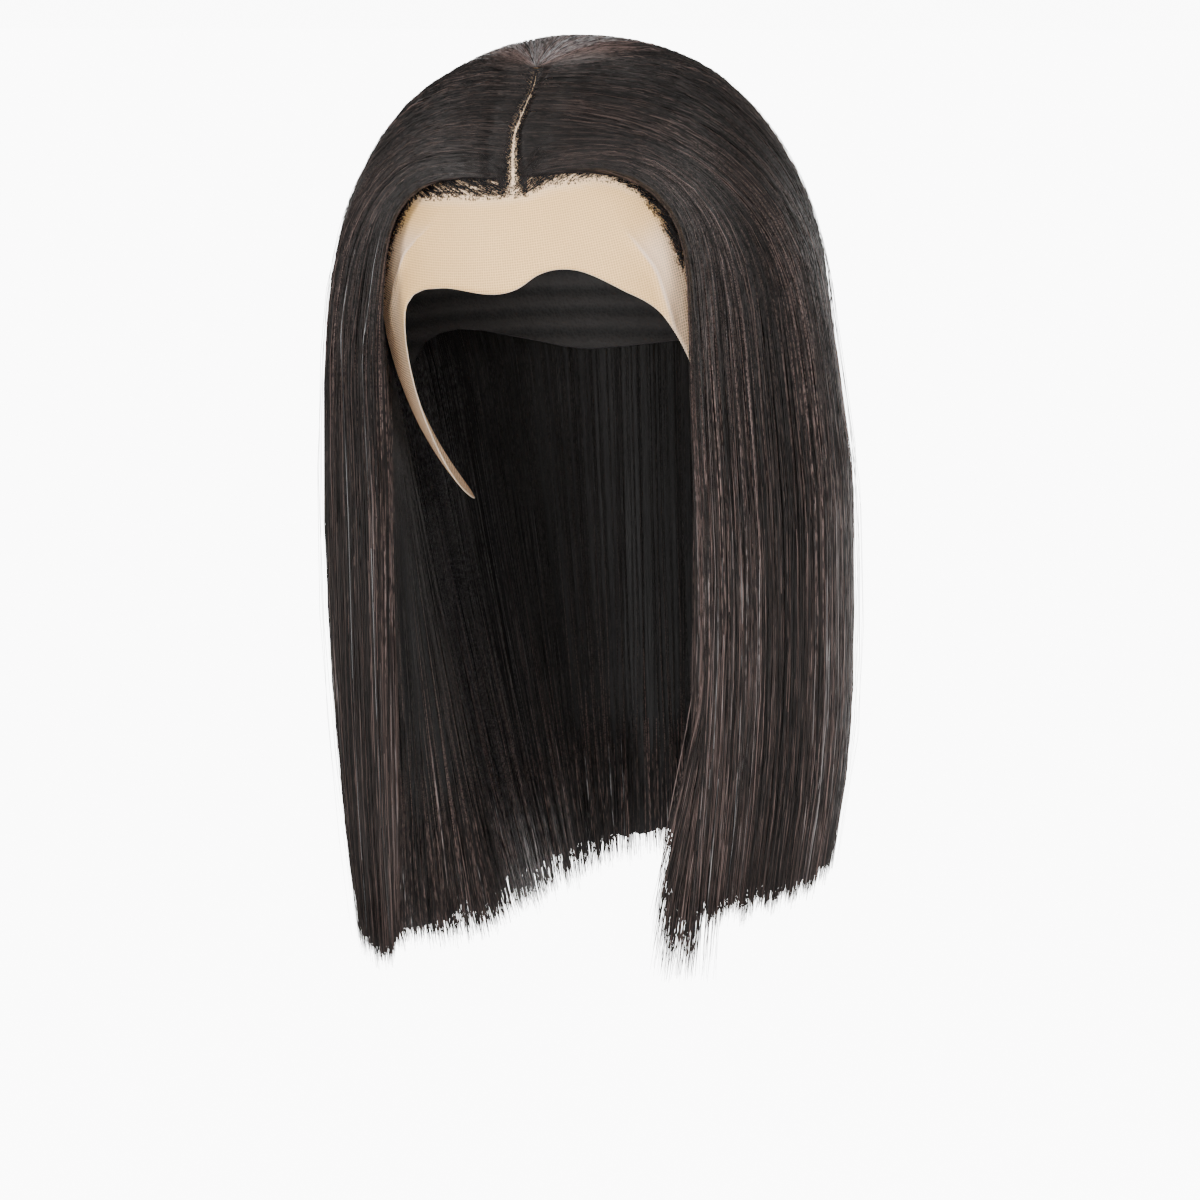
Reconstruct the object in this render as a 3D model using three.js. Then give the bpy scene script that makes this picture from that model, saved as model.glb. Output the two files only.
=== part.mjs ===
// A centre-parted bob wig with a lace front, standing open as it does when a head fills it.
// Millimetres, +Z up. The face looks along -Y and the wearer's left is at +X.
// The origin is at the top of the inside of the cap, straight above the middle of the head.
import * as THREE from "three";

// The head that the cap is made to fit: half an egg above its widest level and half below.
const headWidth = 160;
const headDepth = 196;
const crownHeight = 95;
const jawHeight = 120;

// The cap is worn tipped towards the brow and towards the wearer's right ear.
const nod = 12;
const lean = 7;

// Walls and clearances.
const laceWall = 1;
const capWall = 1.5;
const seamGap = 0.5;
const hairGap = 1.1;
const sectionGap = 0.6;

// How finely the inside of the hair is moved out where it would meet the cap.
const pushStep = 0.5;

// The lace reaches from the brow back to a straight seam from ear to ear.
const seamForward = 12;
const seamCorner = 82;

// The parting runs back from the hairline, narrowing as it goes.
const partTurn = 2;
const partFront = 53;
const partRear = 13;
const partWidth = 5;
const partRearWidth = 2;
const fanRadius = 6;

// The hair: its size over all, the level where it starts to hang, and how high it stands.
const hairWidth = 216;
const hairDepth = 216;
const hairLength = 360;
const shoulderDrop = 130;
const hairRise = 7;
const domeSquare = 2.2;

// At its roots the hair is thin. It reaches its full thickness a share of the way down the head,
// and beside the face it stays thinner for a few degrees round.
const rootThickness = 2;
const riseShare = 0.22;
const edgeThinning = 0.45;
const edgeSpan = 9;

// How squarely strands turn from the parting to hang: more at the brow than further back.
const browSweep = 4;
const rearSweep = 2;
const sweepShare = 0.6;
const fanSpan = 22;

// How much higher the hair's edge crosses the brow on the wearer's left, in degrees.
const browRise = 2.6;

// Over the brow the hair's edge keeps further back than where it hangs beside the face: by how
// many degrees, over how many degrees round, and between which shares of the way down the head.
const browRecede = 6;
const recedeSpan = 16;
const recedeFrom = 0.45;
const recedeTo = 0.85;

// How far the inside of the hair is tucked back from the face at the temples, in degrees.
const tuckRight = -19;
const tuckLeft = 8;

// Where the hair of each side ends and the hair of the back begins, round from the face.
const backTurn = 112;

// Locks: how many show on each section, how deep their furrows are, and how uneven the cut is.
const sideLocks = 10;
const backLocks = 14;
const lockRelief = 1.8;
const halfFurrow = 0.35;
const hemNotch = 7;
const hemUneven = 2.5;
const unevenRate = 2.4;

// The space for the neck lies to the wearer's left of the middle, because of the lean. The inside
// of the hanging hair bows towards it, by where the middle of the bow lies on the way down.
const neckSide = 40;
const bowShare = 0.45;

// Steps of the surfaces: along a strand over the head, along it below, and across a lock.
const crownRows = 10;
const hangRows = 7;
const lockColumns = 3;
const capRows = 9;
const capColumns = 22;
const laceRows = 8;
const laceColumns = 56;

// Where the cap's columns stand along the seam, in degrees from the middle: closer at its corner.
const seamColumns = [0, 16, 32, 48, 62, 72, 78, 81, 82.6];
const cornerGap = 0.4;

// Cross-sections of the hanging hair. fall runs from the shoulder level to the hem. right, left,
// front and back are shares of half the hair's width and depth. square is the exponent of the
// rounded outline, and faceRight and faceLeft are where it stops on either side of the face.
const sections = [
  { fall: 0.0, right: 0.935, left: 0.978, front: 0.962, back: 1.05, square: 2.4, faceRight: 35.4, faceLeft: 38.9 },
  { fall: 0.13, right: 0.93, left: 1.028, front: 0.981, back: 1.065, square: 2.5, faceRight: 32, faceLeft: 37.5 },
  { fall: 0.44, right: 0.908, left: 1.056, front: 0.972, back: 1.065, square: 2.6, faceRight: 31.4, faceLeft: 37.5 },
  { fall: 0.74, right: 0.855, left: 1.052, front: 0.972, back: 1.037, square: 2.6, faceRight: 33.8, faceLeft: 36.2 },
  { fall: 1.0, right: 0.785, left: 0.985, front: 0.954, back: 1.019, square: 2.6, faceRight: 37, faceLeft: 36.3 },
];

// The hem, round from the wearer's right of the face by the back to the left. drop is a share of
// the hair's length, and inward how far the wall reaches towards the neck there.
const hem = [
  { turn: -180, drop: 0.978, inward: 0.25 },
  { turn: -165, drop: 0.985, inward: 0.36 },
  { turn: -145, drop: 0.992, inward: 0.47 },
  { turn: -110, drop: 1.0, inward: 0.5 },
  { turn: -80, drop: 1.004, inward: 0.46 },
  { turn: -52, drop: 1.008, inward: 0.34 },
  { turn: -37, drop: 1.012, inward: 0.06 },
  { turn: 37, drop: 0.945, inward: 0.06 },
  { turn: 50, drop: 0.939, inward: 0.14 },
  { turn: 75, drop: 0.935, inward: 0.27 },
  { turn: 105, drop: 0.938, inward: 0.3 },
  { turn: 140, drop: 0.95, inward: 0.25 },
  { turn: 180, drop: 0.978, inward: 0.25 },
];

// The lace's free edge: a double arch over the brow, then a tab before each ear. around is
// measured from the face and down from the top of the head.
const laceEdge = [
  { around: -82, down: 112 },
  { around: -76, down: 129 },
  { around: -69, down: 134 },
  { around: -61, down: 131 },
  { around: -53, down: 123 },
  { around: -48, down: 112 },
  { around: -45, down: 96 },
  { around: -42, down: 84 },
  { around: -38, down: 79 },
  { around: -33, down: 76.6 },
  { around: -25, down: 75.4 },
  { around: 2, down: 76 },
  { around: 8, down: 73.6 },
  { around: 18, down: 73.8 },
  { around: 31, down: 81.3 },
  { around: 41, down: 89.6 },
  { around: 47, down: 99 },
  { around: 51.5, down: 109 },
  { around: 57, down: 121 },
  { around: 63, down: 130 },
  { around: 69, down: 133 },
  { around: 76, down: 128 },
  { around: 82, down: 112 },
];

// The cap's lower edge behind the lace: up over each ear and down to the nape.
const capEdge = [
  { around: 83, down: 107 },
  { around: 98, down: 103 },
  { around: 118, down: 104 },
  { around: 140, down: 111 },
  { around: 160, down: 117 },
  { around: 180, down: 118 },
];

const rad = THREE.MathUtils.degToRad;
const deg = THREE.MathUtils.radToDeg;
const clamp = THREE.MathUtils.clamp;
const lerp = THREE.MathUtils.lerp;
const smooth = THREE.MathUtils.smoothstep;

// A smooth curve through one column of a table, by another column.
function curveOf(rows, by, column) {
  const places = Float32Array.from(rows, (row) => row[by]);
  const values = Float32Array.from(rows, (row) => row[column]);
  const track = new THREE.CubicInterpolant(places, values, 1);
  return (place) => track.evaluate(clamp(place, places[0], places[places.length - 1]))[0];
}

const headCentre = new THREE.Vector3(0, 0, -crownHeight);
const headTurn = new THREE.Matrix4().makeRotationY(rad(lean)).invert();
headTurn.multiply(new THREE.Matrix4().makeRotationX(rad(nod)));
const headUnturn = headTurn.clone().invert();

// A point of the head form, some way outside it.
function onHead(around, down, lift) {
  const height = down <= 90 ? crownHeight : jawHeight;
  const ring = Math.sin(rad(down));
  const point = new THREE.Vector3(
    (headWidth / 2 + lift) * ring * Math.sin(rad(around)),
    -(headDepth / 2 + lift) * ring * Math.cos(rad(around)),
    (height + lift) * Math.cos(rad(down)),
  );
  return point.applyMatrix4(headTurn).add(headCentre);
}

// Below 1 inside the head form grown by lift, above 1 outside it.
function headGauge(point, lift) {
  const p = point.clone().sub(headCentre).applyMatrix4(headUnturn);
  const height = p.z >= 0 ? crownHeight : jawHeight;
  return Math.hypot(p.x / (headWidth / 2 + lift), p.y / (headDepth / 2 + lift), p.z / (height + lift));
}

// How far along a direction from a point inside the head form its grown surface lies.
function reachOfHead(from, direction, lift) {
  let near = 0;
  let far = headDepth;
  for (let step = 0; step < 40; step += 1) {
    const middle = (near + far) / 2;
    const inside = headGauge(from.clone().addScaledVector(direction, middle), lift) < 1;
    if (inside) near = middle;
    else far = middle;
  }
  return far;
}

// A closed mesh from an outer and an inner sheet of points, joined along their rims.
// An open sheet has four rims. A round one closes on itself and starts at a pole.
function wallMesh(name, material, outer, inner, round) {
  const columns = outer.length;
  const rows = outer[0].length;
  const positions = [];
  for (const sheet of [outer, inner])
    for (const column of sheet) for (const p of column) positions.push(p.x, p.y, p.z);
  const index = [];
  const at = (side, i, j) => {
    const column = round && j === 0 ? 0 : i % columns;
    return side * columns * rows + column * rows + j;
  };
  const face = (a, b, c) => {
    if (a !== b && b !== c && c !== a) index.push(a, b, c);
  };
  const quad = (a, b, c, d) => {
    face(a, b, c);
    face(a, c, d);
  };
  const spans = round ? columns : columns - 1;
  for (let i = 0; i < spans; i += 1) {
    for (let j = 0; j < rows - 1; j += 1) {
      quad(at(0, i, j), at(0, i, j + 1), at(0, i + 1, j + 1), at(0, i + 1, j));
      quad(at(1, i, j), at(1, i + 1, j), at(1, i + 1, j + 1), at(1, i, j + 1));
    }
    const end = rows - 1;
    quad(at(0, i, end), at(1, i, end), at(1, i + 1, end), at(0, i + 1, end));
    if (!round) quad(at(0, i, 0), at(0, i + 1, 0), at(1, i + 1, 0), at(1, i, 0));
  }
  if (!round) {
    const last = columns - 1;
    for (let j = 0; j < rows - 1; j += 1) {
      quad(at(0, 0, j), at(1, 0, j), at(1, 0, j + 1), at(0, 0, j + 1));
      quad(at(0, last, j), at(0, last, j + 1), at(1, last, j + 1), at(1, last, j));
    }
  }
  const geometry = new THREE.BufferGeometry();
  geometry.setAttribute("position", new THREE.Float32BufferAttribute(positions, 3));
  geometry.setIndex(index);
  geometry.computeVertexNormals();
  const mesh = new THREE.Mesh(geometry, material);
  mesh.name = name;
  return mesh;
}

// A sheet of points, a column for each place across it.
function sheetOf(places, shares, pointAt) {
  return places.map((place) => shares.map((share) => pointAt(place, share)));
}

function evenShares(count) {
  return Array.from({ length: count + 1 }, (_, i) => i / count);
}

// The seam's angle down from the top, where a plane across the head meets it.
function seamDown(around, forward) {
  const share = forward / ((headDepth / 2) * Math.cos(rad(around)));
  return deg(Math.asin(clamp(share, 0, 1)));
}

// The lace front: from the seam forward to the double arch and down to the two tabs.
function laceFront() {
  const edge = curveOf(laceEdge, "around", "down");
  const places = evenShares(laceColumns).map((share) => lerp(-seamCorner, seamCorner, share));
  const shares = evenShares(laceRows);
  const pointAt = (lift) => (around, share) =>
    onHead(around, lerp(seamDown(around, seamForward), edge(around), share), lift);
  const material = new THREE.MeshStandardMaterial({ color: 0xdcc3aa, roughness: 0.85, metalness: 0 });
  return wallMesh(
    "lace_front",
    material,
    sheetOf(places, shares, pointAt(laceWall)),
    sheetOf(places, shares, pointAt(0)),
    false,
  );
}

// The cap behind the lace: over the crown and down to the nape, open below.
function crownCap() {
  const edge = curveOf(capEdge, "around", "down");
  const corner = capEdge[0].around;
  const first = corner + cornerGap;
  const behind = evenShares(capColumns).map((share) => lerp(first, 360 - first, share));
  const before = [...seamColumns.slice(1).reverse().map((column) => -column), ...seamColumns];
  const rim = (around) => {
    const turn = Math.abs(around > 180 ? around - 360 : around);
    if (turn < corner) return seamDown(turn, seamForward - seamGap);
    return edge(turn);
  };
  const pointAt = (lift) => (around, share) => onHead(around, rim(around) * share, lift);
  const material = new THREE.MeshStandardMaterial({ color: 0x1b1817, roughness: 0.8, metalness: 0 });
  const places = [...before, ...behind];
  const shares = evenShares(capRows);
  return wallMesh(
    "crown_cap",
    material,
    sheetOf(places, shares, pointAt(capWall)),
    sheetOf(places, shares, pointAt(0)),
    true,
  );
}

// The middle of the hair's dome, at the level where the hair starts to hang.
const domeCentre = new THREE.Vector3(0, 0, -shoulderDrop);
const domeHeight = shoulderDrop + hairRise;

const sectionColumns = Object.keys(sections[0]).filter((column) => column !== "fall");
const sectionCurves = sectionColumns.map((column) => [column, curveOf(sections, "fall", column)]);

// The cross-section of the hanging hair at one level.
function sectionAt(fall) {
  return Object.fromEntries(sectionCurves.map(([column, curve]) => [column, curve(fall)]));
}

// A point of a cross-section's outline, as a vector from the middle. turn is stretched so that
// the outline stops at its own place on either side of the face.
function outlinePoint(section, turn) {
  const face = turn < 0 ? section.faceRight : section.faceLeft;
  const first = turn < 0 ? sections[0].faceRight : sections[0].faceLeft;
  const spread = clamp((180 - Math.abs(turn)) / (180 - first), 0, 1);
  const angle = rad(lerp(180, face, spread));
  const power = 2 / section.square;
  const side = turn < 0 ? section.right : section.left;
  const depth = Math.cos(angle) > 0 ? section.front : section.back;
  const across = Math.sign(turn || 1) * (hairWidth / 2) * side * Math.abs(Math.sin(angle)) ** power;
  const along = -Math.sign(Math.cos(angle)) * (hairDepth / 2) * depth * Math.abs(Math.cos(angle)) ** power;
  return new THREE.Vector3(across, along, 0);
}

// How far the hair's dome lies from its middle along a direction above the shoulder level.
function reachOfDome(direction) {
  const section = sections[0];
  const side = (hairWidth / 2) * (direction.x < 0 ? section.right : section.left);
  const depth = (hairDepth / 2) * (direction.y < 0 ? section.front : section.back);
  const power = section.square;
  const level = ((Math.abs(direction.x) / side) ** power + (Math.abs(direction.y) / depth) ** power) ** (1 / power);
  return (level ** domeSquare + (Math.abs(direction.z) / domeHeight) ** domeSquare) ** (-1 / domeSquare);
}

// Directions from the dome's middle as turns round from the face and heights above the level.
function directionOf(turn, height) {
  return new THREE.Vector3(
    Math.cos(rad(height)) * Math.sin(rad(turn)),
    -Math.cos(rad(height)) * Math.cos(rad(turn)),
    Math.sin(rad(height)),
  );
}

function turnOf(vector) {
  return deg(Math.atan2(vector.x, -vector.y));
}

// The direction of a strand over the head. share runs from its root to the shoulder level.
// Strands of the sides leave the parting, and those of the back fan out from its rear end.
function strandDirection(turn, share, tuck) {
  const side = Math.sign(turn || 1);
  const first = side < 0 ? sections[0].faceRight : sections[0].faceLeft;
  const back = clamp((Math.abs(turn) - first) / (backTurn - first), 0, 1);
  const down = lerp(partFront, partRear, back);
  const halfPart = lerp(partWidth, partRearWidth, back) / 2;
  const root = onHead(partTurn, down, 0).sub(domeCentre);
  root.x += side * halfPart;
  const rootHeight = deg(Math.asin(root.z / root.length()));
  const end = outlinePoint(sections[0], turn);
  const sweep = lerp(browSweep, rearSweep, smooth(back, 0, sweepShare));
  const quarter = (share * Math.PI) / 2;
  const round = (Math.sin(quarter) ** sweep + Math.cos(quarter) ** sweep) ** (1 / sweep);
  const far = Math.sin(quarter) / round;
  const near = Math.cos(quarter) / round;
  const endTurn = turnOf(end) + tuck * (1 - smooth(back, 0, 0.5));
  const lifted = (side > 0 ? browRise : 0) * Math.sin(Math.PI * far) * (1 - smooth(back, 0, 0.5));
  const parted = directionOf(lerp(turnOf(root), endTurn, far), rootHeight * near + lifted);
  const apex = onHead(partTurn, partRear, 0).sub(domeCentre).normalize();
  const fanned = apex.clone();
  const opening = apex.angleTo(end);
  const start = fanRadius / domeHeight / opening;
  const swing = lerp(start, 1, share) * opening;
  const axis = apex.clone().cross(end).normalize();
  fanned.applyAxisAngle(axis, swing);
  return parted.lerp(fanned, smooth(Math.abs(turn), backTurn - fanSpan, backTurn)).normalize();
}

// The turn of a strand over the head, moved back where its edge recedes over the brow.
function crownTurn(turn, share) {
  const first = turn < 0 ? sections[0].faceRight : sections[0].faceLeft;
  const near = 1 - smooth(Math.abs(turn) - first, 0, recedeSpan);
  return turn + Math.sign(turn || 1) * browRecede * near * (1 - smooth(share, recedeFrom, recedeTo));
}

// Grows from 0 at the edge of the hair beside the face to 1 behind it.
function edgeShare(turn) {
  const first = turn < 0 ? sections[0].faceRight : sections[0].faceLeft;
  return smooth(Math.abs(turn), first - 2, first + edgeSpan);
}

const hairLift = capWall + hairGap;
const hemCurves = { drop: curveOf(hem, "turn", "drop"), inward: curveOf(hem, "turn", "inward") };

// A point of the hair's outer surface over the head. furrow is the depth cut between two locks.
function crownOuter(turn, share, furrow) {
  const direction = strandDirection(crownTurn(turn, share), share, 0);
  const inside = reachOfHead(domeCentre, direction, hairLift);
  const outside = Math.max(reachOfDome(direction), inside + rootThickness);
  const rise = smooth(share, -0.05, riseShare);
  const edge = lerp(edgeThinning, 1, edgeShare(turn));
  const full = inside + rootThickness + (outside - inside - rootThickness) * rise * lerp(edge, 1, share);
  const cut = Math.min(furrow * rise, (full - inside) / 2);
  return domeCentre.clone().addScaledVector(direction, full - cut);
}

// A point of the hair's inner surface over the head, just outside the cap.
function crownInner(turn, share) {
  const tuck = turn < 0 ? tuckRight : tuckLeft;
  const direction = strandDirection(crownTurn(turn, share), share, tuck);
  return domeCentre.clone().addScaledVector(direction, reachOfHead(domeCentre, direction, hairLift));
}

// A point of the hanging hair. fall runs from the shoulder level to the hem.
function hangOuter(turn, fall, furrow, level) {
  const point = outlinePoint(sectionAt(fall), turn);
  const length = point.length();
  point.multiplyScalar((length - furrow) / length);
  point.z = lerp(-shoulderDrop, level, fall);
  return point;
}

function hangInner(turn, fall, level) {
  const top = crownInner(turn, 1);
  const foot = hangOuter(turn, 1, 0, level);
  const neck = new THREE.Vector3(neckSide, 0, level);
  foot.lerp(neck, hemCurves.inward(turn));
  const middle = top.clone().lerp(foot, bowShare);
  middle.z = lerp(-shoulderDrop, level, 0.5);
  const bow = new THREE.QuadraticBezierCurve3(top, middle, foot);
  const point = bow.getPoint(fall);
  point.z = lerp(-shoulderDrop, level, fall);
  const axis = new THREE.Vector3(0, 0, point.z);
  while (headGauge(point, hairLift) < 1) point.addScaledVector(point.clone().sub(axis).normalize(), pushStep);
  return point;
}

// One section of the hair, from one turn round the head to another.
function hairSection(name, fromTurn, toTurn, locks, material) {
  const places = evenShares(locks * lockColumns).map((share, i) => {
    const turn = lerp(fromTurn, toTurn, share);
    const lock = Math.floor(i / lockColumns);
    const place = i % lockColumns;
    const furrow = [1, 0, halfFurrow][place];
    const notch = (furrow - 0.5) * hemNotch + hemUneven * Math.sin(unevenRate * lock + turn);
    return { turn: turn > 180 ? turn - 360 : turn, furrow: furrow * lockRelief, notch };
  });
  const levelAt = (place) => -hairLength * hemCurves.drop(place.turn) + place.notch;
  const crown = evenShares(crownRows).map((share) => ({ share, hanging: false }));
  const hang = evenShares(hangRows).slice(1).map((share) => ({ share, hanging: true }));
  const rows = [...crown, ...hang];
  const outerAt = (place, row) =>
    row.hanging
      ? hangOuter(place.turn, row.share, place.furrow, levelAt(place))
      : crownOuter(place.turn, row.share, place.furrow);
  const innerAt = (place, row) =>
    row.hanging ? hangInner(place.turn, row.share, levelAt(place)) : crownInner(place.turn, row.share);
  return wallMesh(name, material, sheetOf(places, rows, outerAt), sheetOf(places, rows, innerAt), false);
}

function hairMaterial() {
  return new THREE.MeshStandardMaterial({ color: 0x1d1817, roughness: 0.42, metalness: 0 });
}

// The angle that the gap between two sections takes at the hair's widest.
const gapTurn = deg(sectionGap / (hairWidth / 2));

const wig = new THREE.Group();
wig.add(laceFront());
wig.add(crownCap());
wig.add(hairSection("hair_left", sections[0].faceLeft, backTurn, sideLocks, hairMaterial()));
wig.add(hairSection("hair_back", backTurn + gapTurn, 360 - backTurn - gapTurn, backLocks, hairMaterial()));
wig.add(hairSection("hair_right", 360 - backTurn, 360 - sections[0].faceRight, sideLocks, hairMaterial()));

export default wig;
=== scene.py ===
# A centre-parted bob wig with a lace front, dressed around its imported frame. Metres, +Z up.
import math
import bpy
import numpy as np
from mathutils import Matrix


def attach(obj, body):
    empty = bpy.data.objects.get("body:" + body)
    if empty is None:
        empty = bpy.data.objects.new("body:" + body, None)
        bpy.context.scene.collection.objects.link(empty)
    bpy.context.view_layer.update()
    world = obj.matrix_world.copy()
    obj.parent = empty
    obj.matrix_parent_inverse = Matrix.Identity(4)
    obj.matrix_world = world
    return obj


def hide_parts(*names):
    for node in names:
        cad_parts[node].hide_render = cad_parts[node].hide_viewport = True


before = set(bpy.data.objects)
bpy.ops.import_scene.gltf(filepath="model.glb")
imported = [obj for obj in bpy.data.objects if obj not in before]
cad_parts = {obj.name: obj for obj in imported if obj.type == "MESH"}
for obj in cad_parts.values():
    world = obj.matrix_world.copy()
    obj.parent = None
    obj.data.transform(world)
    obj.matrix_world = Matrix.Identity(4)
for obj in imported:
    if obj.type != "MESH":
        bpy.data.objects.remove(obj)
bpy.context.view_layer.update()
print("frame loaded")

rng = np.random.default_rng(7)

# The head that the wig is worn on, and how it is tipped.
headForm = {
    "halfWidth": 0.080,
    "halfDepth": 0.098,
    "crown": 0.095,
    "jaw": 0.120,
    "nod": 12,
    "lean": 7,
}

# The size of the hair and where the parting runs. Angles are degrees round or down from the top.
hairForm = {
    "halfWidth": 0.108,
    "halfDepth": 0.108,
    "drop": 0.360,
    "shoulder": 0.130,
    "rise": 0.007,
    "domeSquare": 2.2,
    "capLift": 0.0026,
    "laceLift": 0.0010,
    "root": 0.002,
    "laceRoot": 0.0006,
    "edgeThin": 0.15,
    "recede": 6.0,
    "partTurn": 2,
    "partBend": 13,
    "partFront": 53,
    "partRear": 13,
    "partWidth": 0.005,
    "partRearWidth": 0.002,
    "partBare": [(0, 0.0046), (0.07, 0.0031), (0.22, 0.0019), (0.6, 0.0011), (0.9, 0.0007), (1, 0.0003)],
    "crownLength": 0.14,
    "fanRadius": 0.006,
    "backTurn": 112,
    "neckSide": 0.040,
    "neckCurve": 0.45,
    "browRise": 2.6,
    "cornerRise": 0.014,
    "endsLow": 0.006,
    "endsLowBack": 0.009,
    "tuckRight": -19,
    "tuckLeft": 8,
}

# Cross-sections of the hanging hair: fall, right, left, front, back, square, faceRight, faceLeft.
sectionRows = np.array([
    [0.00, 0.935, 0.978, 0.962, 1.050, 2.4, 35.4, 38.9],
    [0.13, 0.930, 1.028, 0.981, 1.065, 2.5, 32.0, 37.5],
    [0.44, 0.908, 1.056, 0.972, 1.065, 2.6, 31.4, 37.5],
    [0.74, 0.855, 1.052, 0.972, 1.037, 2.6, 33.8, 36.2],
    [1.00, 0.785, 0.985, 0.954, 1.019, 2.6, 37.0, 36.3],
])

# The hem round from the wearer's right: turn, drop, inward.
hemRows = np.array([
    [-180, 0.978, 0.25],
    [-165, 0.985, 0.36],
    [-145, 0.992, 0.47],
    [-110, 1.000, 0.50],
    [-80, 1.004, 0.46],
    [-52, 1.008, 0.34],
    [-37, 1.012, 0.06],
    [37, 0.945, 0.06],
    [50, 0.939, 0.14],
    [75, 0.935, 0.27],
    [105, 0.938, 0.30],
    [140, 0.950, 0.25],
    [180, 0.978, 0.25],
])

# The lace's free edge: around the head from the face, and down from the top of it.
laceEdgeRows = np.array([
    [-82, 112],
    [-76, 129],
    [-69, 134],
    [-61, 131],
    [-53, 123],
    [-48, 112],
    [-45, 96],
    [-42, 84],
    [-38, 79],
    [-33, 76.6],
    [-25, 75.4],
    [2, 76],
    [8, 73.6],
    [18, 73.8],
    [31, 81.3],
    [41, 89.6],
    [47, 99],
    [51.5, 109],
    [57, 121],
    [63, 130],
    [69, 133],
    [76, 128],
    [82, 112],
])

# The hairline: around the head from the face, and down from the top of it.
hairlineRows = np.array([
    [-64.5, 81],
    [-62, 75],
    [-59, 68.4],
    [-56, 62.7],
    [-50, 57.7],
    [-42, 53.7],
    [-22, 52.2],
    [-7, 52.7],
    [2.2, 52.8],
    [6.5, 53],
    [13, 51.8],
    [20, 51.7],
    [30, 52.3],
    [38, 54.9],
    [43, 58.2],
    [47, 62.7],
    [51, 67.3],
    [53, 74],
    [54, 80],
])

# Two soft creases in the lace, each from the hairline down to the free edge.
creaseRows = [
    [(-28.6, 59.8), (-40.5, 67.9), (-47, 77.7), (-52, 85.8)],
    [(35.3, 67.5), (41.6, 79), (42.5, 86), (43.8, 92.5)],
]


def lerp(a, b, share):
    return a + (b - a) * share


def smooth(value, low, high):
    share = np.clip((value - low) / (high - low), 0, 1)
    return share * share * (3 - 2 * share)


def signedTurn(turn):
    return np.where(turn > 180, turn - 360, turn)


# Values for each strand, repeated for every point along it.
def sidewise(values, along):
    return np.broadcast_to(values[:, None], along.shape)


# How far along a line each of its points lies, in metres.
def lengthAlong(points):
    return np.concatenate([[0], np.cumsum(np.linalg.norm(np.diff(points, axis=0), axis=1))])


# A smooth curve through a short table.
def curveThrough(places, values):
    places = np.asarray(places, float)
    values = np.asarray(values, float)
    slopes = np.gradient(values, places)

    def at(place):
        place = np.clip(place, places[0], places[-1])
        i = np.clip(np.searchsorted(places, place, side="right") - 1, 0, len(places) - 2)
        width = places[i + 1] - places[i]
        t = (place - places[i]) / width
        start = (1 + 2 * t) * (1 - t) ** 2 * values[i] + t * (1 - t) ** 2 * width * slopes[i]
        end = t * t * (3 - 2 * t) * values[i + 1] + t * t * (t - 1) * width * slopes[i + 1]
        return start + end

    return at


sectionCurves = [curveThrough(sectionRows[:, 0], sectionRows[:, k]) for k in range(1, 8)]
hemDrop = curveThrough(hemRows[:, 0], hemRows[:, 1])
hemInward = curveThrough(hemRows[:, 0], hemRows[:, 2])
laceEdge = curveThrough(laceEdgeRows[:, 0], laceEdgeRows[:, 1])


def tippedFrame():
    nod, lean = math.radians(headForm["nod"]), math.radians(headForm["lean"])
    tipForward = np.array([
        [1, 0, 0],
        [0, math.cos(nod), -math.sin(nod)],
        [0, math.sin(nod), math.cos(nod)],
    ])
    tipSideways = np.array([
        [math.cos(lean), 0, -math.sin(lean)],
        [0, 1, 0],
        [math.sin(lean), 0, math.cos(lean)],
    ])
    return tipSideways @ tipForward


headTurn = tippedFrame()
headCentre = np.array([0, 0, -headForm["crown"]])
domeCentre = np.array([0, 0, -hairForm["shoulder"]])
domeHeight = hairForm["shoulder"] + hairForm["rise"]


def onHead(around, down, lift):
    around, down = np.radians(around), np.radians(down)
    height = np.where(np.cos(down) >= 0, headForm["crown"], headForm["jaw"]) + lift
    local = np.stack([
        (headForm["halfWidth"] + lift) * np.sin(down) * np.sin(around),
        -(headForm["halfDepth"] + lift) * np.sin(down) * np.cos(around),
        height * np.cos(down),
    ], -1)
    return local @ headTurn.T + headCentre


# How far from the dome's middle the head form lies along each direction.
def headReach(direction, lift):
    start = headTurn.T @ (domeCentre - headCentre)
    local = direction @ headTurn
    answers = []
    lift = np.asarray(lift)[..., None]
    for height in (headForm["crown"], headForm["jaw"]):
        size = np.array([headForm["halfWidth"], headForm["halfDepth"], height]) + lift
        o, v = start / size, local / size
        a = (v * v).sum(-1)
        b = (v * o).sum(-1)
        c = (o * o).sum(-1) - 1
        answers.append((-b + np.sqrt(np.maximum(b * b - a * c, 0))) / a)
    above = start[2] + answers[0] * local[..., 2] >= 0
    return np.where(above, answers[0], answers[1])


def headGauge(points, lift):
    local = (points - headCentre) @ headTurn
    height = np.where(local[..., 2] >= 0, headForm["crown"], headForm["jaw"]) + lift
    x = local[..., 0] / (headForm["halfWidth"] + lift)
    y = local[..., 1] / (headForm["halfDepth"] + lift)
    return np.sqrt(x * x + y * y + (local[..., 2] / height) ** 2)


def domeReach(direction):
    right, left, front, back, square = sectionRows[0, 1:6]
    side = hairForm["halfWidth"] * np.where(direction[..., 0] < 0, right, left)
    depth = hairForm["halfDepth"] * np.where(direction[..., 1] < 0, front, back)
    across = np.abs(direction[..., 0] / side) ** square
    along = np.abs(direction[..., 1] / depth) ** square
    level = (across + along) ** (1 / square)
    power = hairForm["domeSquare"]
    return (level ** power + np.abs(direction[..., 2] / domeHeight) ** power) ** (-1 / power)


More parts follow.
